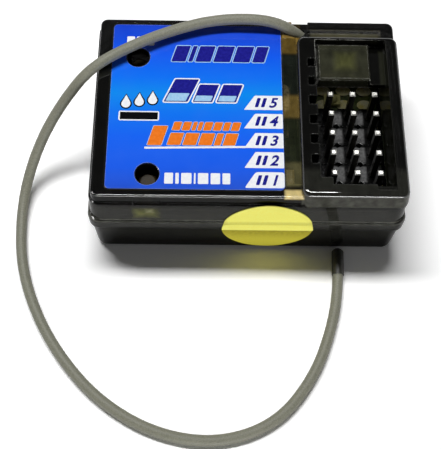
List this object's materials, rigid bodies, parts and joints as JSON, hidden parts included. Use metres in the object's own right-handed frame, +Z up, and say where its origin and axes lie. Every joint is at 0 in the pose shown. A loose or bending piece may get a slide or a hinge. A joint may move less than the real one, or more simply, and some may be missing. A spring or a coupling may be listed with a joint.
{
  "type": "radio control receiver",
  "caption": "Small smoked-plastic radio control receiver with a tower of servo pins, a blue label, a yellow seal and a thin wire antenna lying in a loop.",
  "frame": {"origin": "middle of the case's footprint, on the surface that it rests on", "axes": "+X to the right towards the connector tower, +Y to the back edge where the antenna leaves the lid, +Z up through the lid"},
  "size_m": [0.0454, 0.0485, 0.0148],
  "materials": {
    "smoked_plastic": "clear smoke-tinted glossy plastic",
    "label_film": "glossy printed blue film",
    "seal_paper": "plain yellow vinyl paper",
    "board_laminate": "olive solder mask on glass laminate",
    "chip_epoxy": "black moulded epoxy",
    "nickel_can": "drawn nickel can",
    "tantalum_moulding": "amber moulded case",
    "clear_lens": "clear lens",
    "ceramic_chip": "tan ceramic",
    "antenna_jacket": "warm grey cable jacket",
    "shrink_cap": "dark shrink tube",
    "switch_body": "moulded switch housing",
    "button_stem": "tan moulded stem",
    "header_plastic": "black header moulding",
    "plated_pin": "bright plated square pin"
  },
  "bodies": {
    "housing": {"lower_case": "smoked_plastic", "upper_case": "smoked_plastic", "top_label": "label_film", "seal_sticker": "seal_paper", "main_board": "board_laminate", "rf_chip": "chip_epoxy", "mcu_chip": "chip_epoxy", "crystal_can": "nickel_can", "voltage_regulator": "chip_epoxy", "input_capacitor": "tantalum_moulding", "status_led": "clear_lens", "chip_parts": "ceramic_chip", "antenna_root": "antenna_jacket", "antenna_wire": "antenna_jacket", "antenna_tip": "shrink_cap", "bind_switch": "switch_body", "failsafe_switch": "switch_body", "header_base_1": "header_plastic", "header_pins_1": "plated_pin", "header_base_2": "header_plastic", "header_pins_2": "plated_pin", "header_base_3": "header_plastic", "header_pins_3": "plated_pin", "header_base_4": "header_plastic", "header_pins_4": "plated_pin", "header_base_5": "header_plastic", "header_pins_5": "plated_pin"},
    "bind_stem": {"bind_button": "button_stem"},
    "failsafe_stem": {"failsafe_button": "button_stem"}
  },
  "joints": [
    {"name": "bind_press", "type": "slide", "parent": "housing", "child": "bind_stem", "axis": [0, 0, -1], "range_m": [0, 0.00025], "stiffness_N_per_m": 800},
    {"name": "failsafe_press", "type": "slide", "parent": "housing", "child": "failsafe_stem", "axis": [0, 0, -1], "range_m": [0, 0.00025], "stiffness_N_per_m": 800}
  ]
}
